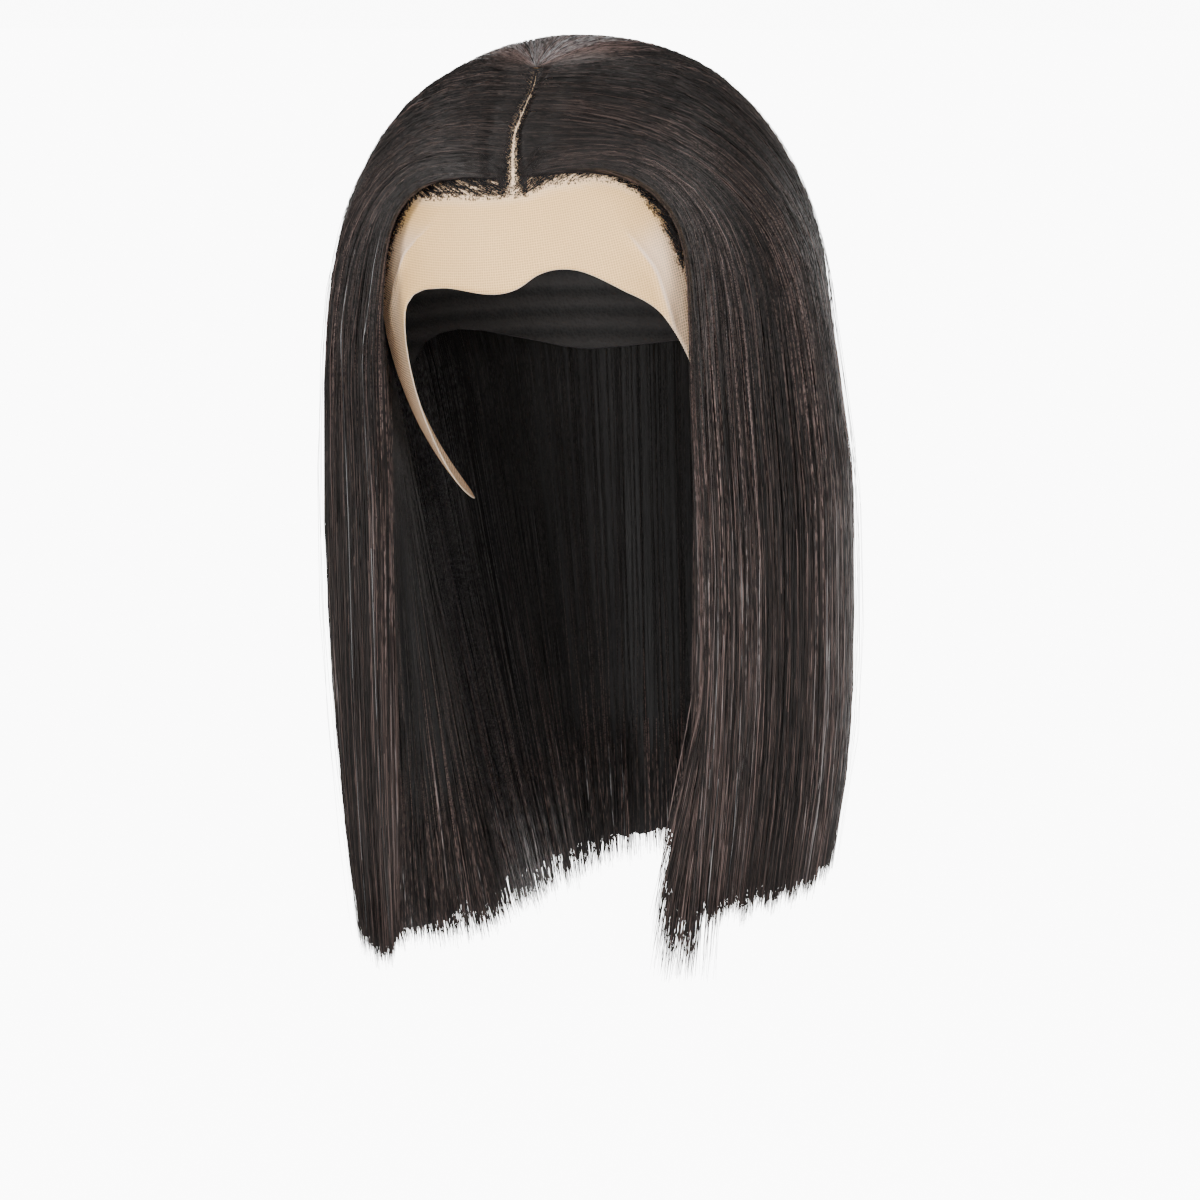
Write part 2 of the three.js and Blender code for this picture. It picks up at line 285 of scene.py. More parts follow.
# A point of the hanging hair's outline, from its middle, at each fall and turn.
def outline(fall, turn):
    fall, turn = np.broadcast_arrays(np.asarray(fall, float), np.asarray(turn, float))
    right, left, front, back, square, faceRight, faceLeft = [curve(fall) for curve in sectionCurves]
    isRight = turn < 0
    face = np.where(isRight, faceRight, faceLeft)
    first = np.where(isRight, sectionRows[0, 6], sectionRows[0, 7])
    spread = np.clip((180 - np.abs(turn)) / (180 - first), 0, 1)
    angle = np.radians(lerp(180, face, spread))
    power = 2 / square
    side = np.where(isRight, right, left)
    depth = np.where(np.cos(angle) > 0, front, back)
    sign = np.where(isRight, -1, 1)
    across = sign * hairForm["halfWidth"] * side * np.abs(np.sin(angle)) ** power
    along = -np.sign(np.cos(angle)) * hairForm["halfDepth"] * depth * np.abs(np.cos(angle)) ** power
    return np.stack([across, along, np.zeros_like(across)], -1)


def directionOf(turn, height):
    turn, height = np.radians(turn), np.radians(height)
    return np.stack([np.cos(height) * np.sin(turn), -np.cos(height) * np.cos(turn), np.sin(height)], -1)


def normalised(v):
    return v / np.linalg.norm(v, axis=-1, keepdims=True)


def faceTurn(turn):
    return np.where(turn < 0, sectionRows[0, 6], sectionRows[0, 7])


# How far back along the parting a strand leaves it, from 0 at the brow to 1 at the rear end.
def backShare(turn):
    first = faceTurn(turn)
    return np.clip((np.abs(turn) - first) / (hairForm["backTurn"] - first), 0, 1)


# How far round the parting lies from the face: it bends towards the wearer's left at the rear.
def partAround(back):
    return hairForm["partTurn"] + hairForm["partBend"] * smooth(back, 0.35, 1.0)


# Half the width of the bare strip of the parting.
def bareHalf(back):
    places, halves = zip(*hairForm["partBare"])
    return np.interp(back, places, halves)


# The share of its way at which a strand leaves the bare strip.
def rootShare(turn):
    back = backShare(turn)
    half = lerp(hairForm["partWidth"], hairForm["partRearWidth"], back) / 2
    return (bareHalf(back) - half) / hairForm["crownLength"]


# The way a strand takes over the head, from its root to where it hangs.
def strandDirection(turn, share, tuck=0.0):
    side = np.where(turn < 0, -1.0, 1.0)
    back = backShare(turn)
    partDown = lerp(hairForm["partFront"], hairForm["partRear"], back)
    root = onHead(partAround(back), partDown, 0.0) - domeCentre
    root[..., 0] += side * lerp(hairForm["partWidth"], hairForm["partRearWidth"], back) / 2
    rootTurn = np.degrees(np.arctan2(root[..., 0], -root[..., 1]))
    rootHeight = np.degrees(np.arcsin(root[..., 2] / np.linalg.norm(root, axis=-1)))
    end = outline(np.zeros_like(turn), turn)
    endTurn = np.degrees(np.arctan2(end[..., 0], -end[..., 1])) + tuck * (1 - smooth(back, 0, 0.5))
    sweep = lerp(4, 2, smooth(back, 0, 0.6))
    quarter = share * math.pi / 2
    across, upward = np.sin(quarter), np.cos(quarter)
    rounding = (np.maximum(across, 1e-9) ** sweep + np.maximum(upward, 1e-9) ** sweep) ** (1 / sweep)
    far = across / rounding
    browRise = np.where(side > 0, hairForm["browRise"], 0)
    lifted = browRise * np.sin(math.pi * far) * (1 - smooth(back, 0, 0.5))
    parted = directionOf(lerp(rootTurn, endTurn, far), rootHeight * upward / rounding + lifted)
    apex = normalised(onHead(partAround(1.0), hairForm["partRear"], 0.0) - domeCentre)
    end = normalised(end)
    opening = np.arccos(np.clip((end * apex).sum(-1), -1, 1))
    start = hairForm["fanRadius"] / domeHeight / opening
    swing = lerp(start, 1, share) * opening
    aside = normalised(end - apex * (end * apex).sum(-1)[..., None])
    fanned = apex * np.cos(swing)[..., None] + aside * np.sin(swing)[..., None]
    blend = smooth(np.abs(turn), hairForm["backTurn"] - 22, hairForm["backTurn"])[..., None]
    return normalised(parted * (1 - blend) + fanned * blend)


# How far back the hair is tucked at the temples, for strands deeper in it.
def tuckAt(turn, depth):
    return np.where(turn < 0, hairForm["tuckRight"], hairForm["tuckLeft"]) * smooth(depth, 0.15, 0.9)


# A point of the hair over the head. depth is 0 on the outside and 1 next to the cap.
def crownPoint(turn, share, depth):
    first = faceTurn(turn)
    nearFace = 1 - smooth(np.abs(turn) - first, 0, 16)
    recede = hairForm["recede"] * (1 - smooth(share, 0.45, 0.85)) * nearFace
    turn = turn + np.where(turn < 0, -1, 1) * recede
    direction = strandDirection(turn, share)
    fromPart = smooth(share, -0.02, 0.24)
    fromFace = lerp(smooth(np.abs(turn), first - 1, first + 12), 1, smooth(share, 0.6, 0.95))
    lift = lerp(hairForm["laceLift"], hairForm["capLift"], fromPart * fromFace)
    root = lerp(hairForm["laceRoot"], hairForm["root"], smooth(share, 0, 0.35) * fromFace)
    inside = headReach(direction, lift)
    outside = np.maximum(domeReach(direction), inside + root)
    rise = smooth(share, -0.04, 0.36)
    edge = lerp(hairForm["edgeThin"], 1, smooth(np.abs(turn), first - 2, first + 14))
    full = inside + root + (outside - inside - root) * rise * lerp(edge, 1, smooth(share, 0.3, 1))
    outer = domeCentre + direction * full[..., None]
    inward = strandDirection(turn, share, tuckAt(turn, depth))
    inner = domeCentre + inward * headReach(inward, lift)[..., None]
    return lerp(outer, inner, depth[..., None])


# A point of the hanging hair, fall running from the shoulder to the strand's own end.
def hangPoint(turn, fall, depth, level):
    z = lerp(-hairForm["shoulder"], level, fall)
    outer = outline(fall, turn)
    outer[..., 2] = z
    inward = strandDirection(turn, np.ones_like(turn), tuckAt(turn, depth))
    top = domeCentre + inward * headReach(inward, hairForm["capLift"])[..., None]
    foot = outline(np.ones_like(fall), turn)
    foot[..., 2] = level
    neck = np.stack([np.full_like(level, hairForm["neckSide"]), np.zeros_like(level), level], -1)
    foot = lerp(foot, neck, hemInward(turn)[..., None])
    middle = lerp(top, foot, hairForm["neckCurve"])
    s = fall[..., None]
    inner = (1 - s) ** 2 * top + 2 * s * (1 - s) * middle + s * s * foot
    inner[..., 2] = z
    inside = np.minimum(headGauge(inner, hairForm["capLift"]), 1)[..., None]
    axis = np.stack([np.zeros_like(z), np.zeros_like(z), z], -1)
    inner = axis + (inner - axis) / inside
    return lerp(outer, inner, depth[..., None])


# The same for whole strands, one row of falls for each.
def hangPaths(turn, depth, level, fall):
    return hangPoint(sidewise(turn, fall), fall, sidewise(depth, fall), sidewise(level, fall))


# How strands are divided along their length, and how wide their bend at the ears is rounded.
strandForm = {
    "crownWay": 0.170,
    "hangWay": 0.235,
    "closer": 0.45,
    "round": 0.034,
    "roundSpan": 0.055,
}


# Points of every strand at a way along it, in metres: over the head first, then down to its end.
def strandPoints(turn, depth, level, shareFrom, way):
    crownWay, hangWay = strandForm["crownWay"], strandForm["hangWay"]
    wide, deep, low = sidewise(turn, way), sidewise(depth, way), sidewise(level, way)
    share = lerp(shareFrom[:, None], 1, np.minimum(way / crownWay, 1))
    fall = np.clip((way - crownWay) / hangWay, 0, 1)
    crown = crownPoint(wide, share, deep)
    hang = hangPoint(wide, fall, deep, low)
    return np.where((way <= crownWay)[..., None], crown, hang)


# Points along every strand, with the bend where it starts to hang rounded off. phase shifts each
# strand's own points, so that no two strands turn at the same places.
def strandPaths(turn, depth, level, shareFrom, crownSteps, hangSteps, phase):
    last = crownSteps + hangSteps - 1
    steps = np.arange(last + 1)
    place = steps[None, :] + phase[:, None] * np.sin(math.pi * steps / last) ** 0.3
    place[:, 0], place[:, -1] = 0, last
    over = np.minimum(place / (crownSteps - 1), 1)
    over = over + strandForm["closer"] * np.sin(2 * math.pi * over) / (2 * math.pi)
    down = np.maximum(place - (crownSteps - 1), 0) / hangSteps
    way = strandForm["crownWay"] * over + strandForm["hangWay"] * down
    reach = strandForm["round"] * np.exp(-((way - strandForm["crownWay"]) / strandForm["roundSpan"]) ** 2)
    total = strandForm["crownWay"] + strandForm["hangWay"]
    before = strandPoints(turn, depth, level, shareFrom, np.maximum(way - reach, 0))
    after = strandPoints(turn, depth, level, shareFrom, np.minimum(way + reach, total))
    return 0.5 * strandPoints(turn, depth, level, shareFrom, way) + 0.25 * (before + after)


# One joined mesh from arrays of corners, faces and a pattern place for each corner.
def meshFromArrays(name, points, faces, uvs):
    mesh = bpy.data.meshes.new(name)
    sides = faces.shape[1]
    mesh.vertices.add(len(points))
    mesh.vertices.foreach_set("co", points.astype(np.float32).ravel())
    mesh.loops.add(faces.size)
    mesh.loops.foreach_set("vertex_index", faces.astype(np.int32).ravel())
    mesh.polygons.add(len(faces))
    mesh.polygons.foreach_set("loop_start", np.arange(0, faces.size, sides, dtype=np.int32))
    mesh.polygons.foreach_set("use_smooth", np.ones(len(faces), bool))
    layer = mesh.uv_layers.new(name="UVMap")
    layer.data.foreach_set("uv", uvs[faces.ravel()].astype(np.float32).ravel())
    mesh.update(calc_edges=True)
    mesh.validate()
    piece = bpy.data.objects.new(name, mesh)
    bpy.context.collection.objects.link(piece)
    return piece


# Strands as slim three-sided tubes, closed to a point at both ends.
def strandMesh(name, paths, width, shade, taper=0.25, rootShade=1.0):
    count, steps, _ = paths.shape
    ahead = normalised(np.gradient(paths, axis=1))
    outward = normalised(paths * np.array([1, 1, 0.6]) - np.array([0, 0, -0.6 * hairForm["shoulder"]]))
    across = normalised(np.cross(ahead, outward))
    upward = np.cross(across, ahead)
    along = np.linspace(0, 1, steps)
    slim = np.minimum(1, taper + (1 - taper) * np.minimum(along * 6, (1 - along) * 5))
    radius = (width[:, None] * slim[None, :] / 2)[..., None]
    corners = []
    for k in range(3):
        angle = 2 * math.pi * k / 3 + math.pi / 2
        corners.append(paths + radius * (across * math.cos(angle) + upward * math.sin(angle)))
    rings = np.stack(corners, 2)
    points = rings.reshape(-1, 3)
    base = (np.arange(count)[:, None] * steps + np.arange(steps - 1)[None, :]) * 3
    base = base.ravel()
    faces = []
    for k in range(3):
        n = (k + 1) % 3
        faces.append(np.stack([base + k, base + n, base + 3 + n], 1))
        faces.append(np.stack([base + k, base + 3 + n, base + 3 + k], 1))
    first = np.arange(count) * steps * 3
    last = first + (steps - 1) * 3
    faces.append(np.stack([first + 2, first + 1, first], 1))
    faces.append(np.stack([last, last + 1, last + 2], 1))
    faces = np.concatenate(faces)
    uvs = np.zeros((count, steps, 3, 2))
    # The colour darkens towards each strand's root by the root factor: on the inner strands painted shade,
    # on the outer ones a darker crown that is partly the hair's own tone and partly painted shade.
    uvs[..., 0] = shade[:, None, None] * lerp(rootShade, 1, smooth(along, 0.2, 0.9))[None, :, None]
    uvs[..., 1] = along[None, :, None]
    return meshFromArrays(name, points, faces, uvs.reshape(-1, 2))


# Turns drawn part of the way to the middle of their lock.
def gathered(turn, pitch, pull):
    lock = np.floor(turn / pitch)
    middle = (lock + 0.5 + 0.3 * np.sin(lock * 2.4)) * pitch
    return lerp(turn, middle, pull), lock


# Materials


def newMaterial(name):
    material = bpy.data.materials.new(name)
    material.use_nodes = True
    tree = material.node_tree
    return material, tree, tree.nodes["Principled BSDF"]


# Constants for some inputs of a node, by their names.
def setInputs(node, **values):
    for key, value in values.items():
        node.inputs[key].default_value = value


# The same for a node that carries values from one range to another.
def setRange(node, low, high, toLow=0, toHigh=1):
    for key, value in (("From Min", low), ("From Max", high), ("To Min", toLow), ("To Max", toHigh)):
        node.inputs[key].default_value = value


def addNode(tree, kind, **values):
    node = tree.nodes.new(kind)
    for key, value in values.items():
        setattr(node, key, value)
    return node


def rampOf(tree, stops):
    ramp = addNode(tree, "ShaderNodeValToRGB")
    while len(ramp.color_ramp.elements) < len(stops):
        ramp.color_ramp.elements.new(0.5)
    for element, (place, colour) in zip(ramp.color_ramp.elements, stops):
        element.position = place
        element.color = (*colour, 1)
    return ramp


hairLook = {
    "black": (0.0046, 0.0037, 0.0034),
    "brown": (0.026, 0.0178, 0.0155),
    "warm": (0.078, 0.052, 0.046),
    "grey": (0.138, 0.138, 0.140),
    "roughness": (0.30, 0.62),
    "specular": 0.30,
    "tint": (1.0, 0.965, 0.945, 1),
    # glint: how far the painted glints scale the strands' colour down and up.
    "glint": (0.35, 2.2),
}


# Near-black hair whose strands differ a little, a few of them brown or grey, with glints of light painted
# into their colour.
def strandMaterial():
    material, tree, shader = newMaterial("blackHair")
    link = tree.links.new
    place = addNode(tree, "ShaderNodeUVMap", uv_map="UVMap")
    split = addNode(tree, "ShaderNodeSeparateXYZ")
    link(place.outputs["UV"], split.inputs[0])
    ramp = rampOf(tree, [
        (0.0, hairLook["black"]),
        (0.38, hairLook["black"]),
        (0.68, hairLook["brown"]),
        (0.88, hairLook["warm"]),
        (1.0, hairLook["grey"]),
    ])
    link(split.outputs["X"], ramp.inputs["Fac"])
    spread = addNode(tree, "ShaderNodeMapping")
    spread.inputs["Scale"].default_value = (900, 7, 1)
    link(place.outputs["UV"], spread.inputs["Vector"])
    glint = addNode(tree, "ShaderNodeTexNoise", noise_dimensions="2D")
    setInputs(glint, Scale=1.0, Detail=2)
    link(spread.outputs["Vector"], glint.inputs["Vector"])
    # The glint noise scales the base colour down and up in short dashes along each strand: painted glints
    # and shade.
    paintedGlint = addNode(tree, "ShaderNodeMapRange", interpolation_type="SMOOTHSTEP")
    setRange(paintedGlint, 0.35, 0.65, hairLook["glint"][0], hairLook["glint"][1])
    link(glint.outputs["Fac"], paintedGlint.inputs["Value"])
    scaled = addNode(tree, "ShaderNodeVectorMath", operation="SCALE")
    link(ramp.outputs["Color"], scaled.inputs[0])
    link(paintedGlint.outputs["Result"], scaled.inputs["Scale"])
    link(scaled.outputs["Vector"], shader.inputs["Base Color"])
    gloss = addNode(tree, "ShaderNodeMapRange")
    setRange(gloss, 0.35, 0.65, hairLook["roughness"][1], hairLook["roughness"][0])
    link(glint.outputs["Fac"], gloss.inputs["Value"])
    link(gloss.outputs["Result"], shader.inputs["Roughness"])
    shader.inputs["Specular IOR Level"].default_value = hairLook["specular"]
    shader.inputs["Specular Tint"].default_value = hairLook["tint"]
    return material


# The mass of hair under the loose strands: fine streaks that run along it, in colours mostly darker than
# the strands' black as painted shade of the hair beneath them.
def shellMaterial(across):
    material, tree, shader = newMaterial("hairMass")
    link = tree.links.new
    place = addNode(tree, "ShaderNodeUVMap", uv_map="UVMap")
    spread = addNode(tree, "ShaderNodeMapping")
    spread.inputs["Scale"].default_value = (across, 2.2, 1)
    link(place.outputs["UV"], spread.inputs["Vector"])
    streak = addNode(tree, "ShaderNodeTexNoise")
    setInputs(streak, Scale=1.0, Detail=5, Roughness=0.65)
    link(spread.outputs["Vector"], streak.inputs["Vector"])
    # Colours mostly darker than the strands' black: painted shade of the hair under the strands.
    ramp = rampOf(tree, [
        (0.35, (0.002, 0.0017, 0.0016)),
        (0.60, (0.005, 0.0042, 0.004)),
        (0.80, hairLook["black"]),
    ])
    link(streak.outputs["Fac"], ramp.inputs["Fac"])
    link(ramp.outputs["Color"], shader.inputs["Base Color"])
    bump = addNode(tree, "ShaderNodeBump")
    setInputs(bump, Strength=0.6, Distance=0.0012)
    link(streak.outputs["Fac"], bump.inputs["Height"])
    link(bump.outputs["Normal"], shader.inputs["Normal"])
    shader.inputs["Roughness"].default_value = 0.55
    shader.inputs["Specular IOR Level"].default_value = 0.3
    return material


def setMaterial(piece, material):
    piece.data.materials.clear()
    piece.data.materials.append(material)


hairMaterial = strandMaterial()
massMaterial = shellMaterial(260)

# Hair

backTurn = hairForm["backTurn"]
faceRight, faceLeft = sectionRows[0, 6], sectionRows[0, 7]
massLook = {
    "columns": 90,
    "crownRows": 14,
    "hangRows": 12,
    "short": 0.0072,
    "jagged": 0.0010,
    "thinFront": 0.010,
    "inset": 1.3,
    "fromRoot": 0.03,
    "locks": 12,
    "relief": 0.0012,
    "depthOuter": (0.18, 0.4),
    "depthInner": (0.95, 0.7),
}


def deselectAll():
    bpy.ops.object.select_all(action="DESELECT")


# The height of the hem: the strands' ends reach a little below the solid's, and rise towards the
# inside at the front corner on the wearer's right.
def hemLine(turn, depth):
    low, back = hairForm["endsLow"], hairForm["endsLowBack"]
    corner = np.where(turn < 0, 1 - smooth(np.abs(turn), faceTurn(turn) + 3, faceTurn(turn) + 14), 0)
    risen = hairForm["cornerRise"] * corner * np.clip(depth, 0, 1)
    return risen - hairForm["drop"] * hemDrop(turn) - lerp(low, back, smooth(np.abs(turn), 60, 110))


# A flat grid, to be shaped corner by corner, with the place of each corner across it.
def gridSheet(name, columns, rows):
    deselectAll()
    bpy.ops.mesh.primitive_grid_add(x_subdivisions=columns, y_subdivisions=rows, size=1)
    sheet = bpy.context.active_object
    sheet.name = name
    flat = np.empty(len(sheet.data.vertices) * 3)
    sheet.data.vertices.foreach_get("co", flat)
    flat = flat.reshape(-1, 3)
    return sheet, flat[:, 0] + 0.5, flat[:, 1] + 0.5


def placeCorners(sheet, points):
    sheet.data.vertices.foreach_set("co", points.ravel())
    sheet.data.update()


# Points of one face of the mass, u running across the locks and v from root to hem.
def massSurface(u, v, fromTurn, toTurn, depthTop, depthHem):
    turn = lerp(fromTurn, toTurn, u)
    turn = signedTurn(turn)
    crownShare = massLook["crownRows"] / (massLook["crownRows"] + massLook["hangRows"])
    share = lerp(massLook["fromRoot"], 1, np.clip(v / crownShare, 0, 1))
    fall = np.clip((v - crownShare) / (1 - crownShare), 0, 1)
    frontEdge = 1 - smooth(np.abs(turn), faceTurn(turn) + 1, faceTurn(turn) + 9)
    level = hemLine(turn, depthTop) + massLook["short"] + massLook["thinFront"] * frontEdge
    level = level + massLook["jagged"] * (np.sin(turn * 5.3) + np.sin(turn * 11.9))
    depth = lerp(depthTop, depthHem, smooth(v, 0.86, 1))
    crown = crownPoint(turn, share, depth)
    hang = hangPoint(turn, fall, depth, level)
    return np.where((v <= crownShare)[:, None], crown, hang)


# A closed wall of hair: an outer and an inner sheet, bridged along their rims.
def hairMass(name, node, fromTurn, toTurn):
    rows = massLook["crownRows"] + massLook["hangRows"]
    sheets = []
    for face in ("Outer", "Inner"):
        depthTop, depthHem = massLook["depth" + face]
        sheet, u, v = gridSheet(name + face, massLook["columns"], rows)
        points = massSurface(u, v, fromTurn, toTurn, depthTop, depthHem)
        if face == "Outer":
            wave = np.cos(u * massLook["locks"] * 2 * math.pi) * 0.5 + 0.5
            away = normalised(points - domeCentre * np.array([1, 1, 1.2]))
            away[:, 2] *= 0.3
            points = points - away * (massLook["relief"] * wave * smooth(v, 0.05, 0.3))[:, None]
        placeCorners(sheet, points)
        sheets.append(sheet)
    deselectAll()
    for sheet in sheets:
        sheet.select_set(True)
    bpy.context.view_layer.objects.active = sheets[0]
    bpy.ops.object.join()
    mass = bpy.context.active_object
    mass.name = name
    bpy.ops.object.mode_set(mode="EDIT")
    bpy.ops.mesh.select_mode(type="EDGE")
    bpy.ops.mesh.select_all(action="DESELECT")
    bpy.ops.mesh.select_non_manifold()
    bpy.ops.mesh.bridge_edge_loops()
    bpy.ops.mesh.select_all(action="SELECT")
    bpy.ops.mesh.normals_make_consistent(inside=False)
    bpy.ops.object.mode_set(mode="OBJECT")
    bpy.ops.object.shade_smooth()
    setMaterial(mass, massMaterial)
    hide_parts(node)
    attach(mass, "root")
    return mass


massParts = [
    ("hairLeftMass", "hair_left", faceLeft + massLook["inset"], backTurn),
    ("hairBackMass", "hair_back", backTurn, 360 - backTurn),
    ("hairRightMass", "hair_right", 360 - backTurn, 360 - faceRight - massLook["inset"]),
]
for part in massParts:
    hairMass(*part)
print("hair masses made")

strandLook = {
    "crownSteps": 12,
    "hangSteps": 4,
    "fallSteps": 5,
    "width": 0.00042,
    "lockPitch": 1.9,
    "pull": 0.35,
    "wander": 0.0010,
    "uneven": 0.0028,
    "fallUneven": 0.0032,
    "lockUneven": 0.0022,
    "cutShort": 0.08,
    "longest": 0.006,
    "shortest": 0.030,
    "edgeShare": 0.15,
    "edgeSpan": 1.7,
    "rootSpan": 0.035,
    "fanRoot": (-0.022, 0.012),
}


# Where each strand ends: near the hem, a few much shorter.
def hemLevel(turn, depth, spread, count):
    uneven = rng.normal(0, spread, count)
    early = rng.random(count) < strandLook["cutShort"]
    uneven = np.where(early, np.abs(uneven) * 4, uneven)
    uneven = np.clip(uneven, -strandLook["longest"], strandLook["shortest"])
    thin = 1 - smooth(np.abs(turn), faceTurn(turn) + 1, faceTurn(turn) + 8)
    uneven += thin * rng.random(count) ** 2 * massLook["thinFront"]
    return hemLine(turn, depth) + uneven


# Strands as a finished piece: their mesh, material and body.
def layStrands(name, paths, width, shade, **ends):
    strands = strandMesh(name, paths, width, shade, **ends)
    setMaterial(strands, hairMaterial)
    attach(strands, "root")


# Strands stray a little from side to side, more towards their ends.
def waver(paths, reach, low=3, high=9):
    count, steps, _ = paths.shape
    along = np.linspace(0, 1, steps)
    phase = rng.uniform(0, 2 * math.pi, (count, 1, 3))
    swing = np.sin(along[None, :, None] * rng.uniform(low, high, (count, 1, 3)) + phase)
    return paths + swing * reach * smooth(along, 0.3, 1.0)[None, :, None] * np.array([1, 1, 0.1])


# Turns and depths for strands of one part of the hair, some of them all through its front edge.
def strandPlaces(fromTurn, toTurn, count, depthRange, edgeShare):
    turn = rng.uniform(fromTurn, toTurn, count)
    depth = lerp(depthRange[0], depthRange[1], rng.random(count) ** 1.5)
    edge = rng.random(count) < edgeShare
    nearEdge = strandLook["edgeSpan"] * rng.random(count)
    if fromTurn < 90:
        turn = np.where(edge, fromTurn + nearEdge, turn)
        depth = np.where(edge, rng.random(count), depth)
    if toTurn > 270:
        turn = np.where(edge, toTurn - nearEdge, turn)
        depth = np.where(edge, rng.random(count), depth)
    return turn, depth


# Random shades, partly shared by the strands of a lock.
def strandShades(lock, count):
    lockShade = np.sin(lock * 12.9) * 0.5 + 0.5
    return lerp(rng.random(count), lockShade, 0.18)


# Whole strands of one part of the hair, drawn into fine locks towards their ends.
def strandSet(name, fromTurn, toTurn, count, depthRange):
    turn, depth = strandPlaces(fromTurn, toTurn, count, depthRange, strandLook["edgeShare"])
    pulled, lock = gathered(turn, strandLook["lockPitch"], strandLook["pull"])
    wrapped = signedTurn(pulled)
    level = hemLevel(wrapped, depth, strandLook["uneven"], count)
    level = level + strandLook["lockUneven"] * np.sin(lock * 5.1)
    parted = rootShare(signedTurn(turn)) + strandLook["rootSpan"] * rng.random(count) ** 1.6
    fanned = rng.uniform(*strandLook["fanRoot"], count)
    shareFrom = lerp(parted, fanned, smooth(np.abs(signedTurn(turn)), backTurn - 14, backTurn))
    steps = (strandLook["crownSteps"], strandLook["hangSteps"], rng.uniform(-0.5, 0.5, count))
    paths = strandPaths(signedTurn(turn), depth, level, shareFrom, *steps)
    drawn = strandPaths(wrapped, depth, level, shareFrom, *steps)
    along = np.linspace(0, 1, paths.shape[1])
    paths = lerp(paths, drawn, smooth(along, 0.4, 1.0)[None, :, None])
    paths = waver(paths, strandLook["wander"])
    width = strandLook["width"] * rng.uniform(0.6, 1.4, count)
    # These strands are darker at the crown: partly the hair's own tone, partly painted shade.
    layStrands(name, paths, width, strandShades(lock, count), rootShade=0.78)


# Strands that come out from under the others at the temples or below, and hang to the hem.
def fallSet(name, fromTurn, toTurn, count, depthRange):
    turn, depth = strandPlaces(fromTurn, toTurn, count, depthRange, 2 * strandLook["edgeShare"])
    pulled, lock = gathered(turn, strandLook["lockPitch"], strandLook["pull"])
    wrapped = signedTurn(pulled)
    level = hemLevel(wrapped, depth, strandLook["fallUneven"], count)
    level = level + strandLook["lockUneven"] * np.sin(lock * 5.1)
    steps = strandLook["fallSteps"] + 1
    start = rng.uniform(0.0, 0.55, count) ** 1.4
    fall = lerp(start[:, None], 1, np.linspace(0, 1, steps)[None, :])
    paths = hangPaths(signedTurn(turn), depth, level, fall)
    drawn = hangPaths(wrapped, depth, level, fall)
    paths = lerp(paths, drawn, smooth(fall, 0.0, 1.0)[..., None])
    paths = waver(paths, strandLook["wander"], 1, 5)
    width = strandLook["width"] * rng.uniform(0.5, 1.2, count)
    layStrands(name, paths, width, strandShades(lock, count))


outerSets = [
    ("strandsLeft", faceLeft - 0.3, backTurn + 3, 1550, (-0.03, 0.15)),
    ("strandsBack", backTurn - 3, 363 - backTurn, 1100, (-0.03, 0.15)),
    ("strandsRight", 357 - backTurn, 360.3 - faceRight, 1450, (-0.03, 0.15)),
]
for outerSet in outerSets:
    strandSet(*outerSet)
fallSets = [
    ("fallLeft", faceLeft - 0.3, backTurn, 2500, (-0.04, 0.10)),
    ("fallBack", backTurn, 360 - backTurn, 1350, (-0.04, 0.10)),
    ("fallRight", 360 - backTurn, 360.3 - faceRight, 2500, (-0.04, 0.10)),
]
for fallSetting in fallSets:
    fallSet(*fallSetting)
print("outer strands laid")

innerLook = {
    "hangSteps": 5,
    "width": 0.00046,
    "hemLong": (0.024, 0.070),
    "hemSteps": 3,
}


# Strands on the inside of the hanging hair, seen through the open face.
def innerStrands(name, fromTurn, toTurn, count):
    turn = rng.uniform(fromTurn, toTurn, count)
    depth = rng.uniform(0.80, 1.02, count)
    wrapped = signedTurn(turn)
    level = hemLevel(wrapped, depth, 0.0028, count)
    shareFrom = rng.uniform(0.72, 0.95, count)
    paths = strandPaths(wrapped, depth, level, shareFrom, 2, innerLook["hangSteps"], np.zeros(count))
    paths = waver(paths, 0.0014)
    width = innerLook["width"] * rng.uniform(0.6, 1.4, count)
    # Inner strands are coloured darker, and darker still towards the root: painted shade of the hair's
    # inside.
    shade = 0.85 * rng.random(count)
    layStrands(name, paths, width, shade, rootShade=0.35)


# The ends of the strands inside the hem, all through its thickness.
def hemStrands(name, fromTurn, toTurn, count):
    turn = rng.uniform(fromTurn, toTurn, count)
    wrapped = signedTurn(turn)
    depth = rng.random(count)
    level = hemLevel(wrapped, depth, 0.0026, count)
    long = rng.uniform(*innerLook["hemLong"], count)
    start = 1 - long / (-hairForm["shoulder"] - level)
    steps = innerLook["hemSteps"] + 1
    fall = lerp(start[:, None], 1, np.linspace(0, 1, steps)[None, :])
    paths = hangPaths(wrapped, depth, level, fall)
    paths = waver(paths, 0.0012, 1, 4)
    width = innerLook["width"] * rng.uniform(0.7, 1.5, count)
    layStrands(name, paths, width, rng.random(count))


innerStrands("innerRight", 360 - backTurn, 360 - faceRight, 1000)
innerStrands("innerBack", backTurn, 360 - backTurn, 1000)
innerStrands("innerLeft", faceLeft, backTurn, 300)
hemStrands("hemRight", 360 - backTurn, 360 - faceRight, 1800)
hemStrands("hemBack", backTurn, 360 - backTurn, 1550)
hemStrands("hemLeft", faceLeft, backTurn, 1100)
print("inside and hem laid")

hairlineLook = {
    "count": 2800,
    "long": (0.004, 0.020),
    "lowest": 1.2,
    "highest": -6.0,
    "templeDrop": 2.4,
    "templeIn": (6.5, 4.2),
    "climb": (0.5, 3.5),
    "steps": 4,
    "width": 0.00034,
    "partCount": 1500,
    "fanCount": 420,
    "fanWide": 92,
    "knotCount": 2300,
    "partKnots": 1300,
}


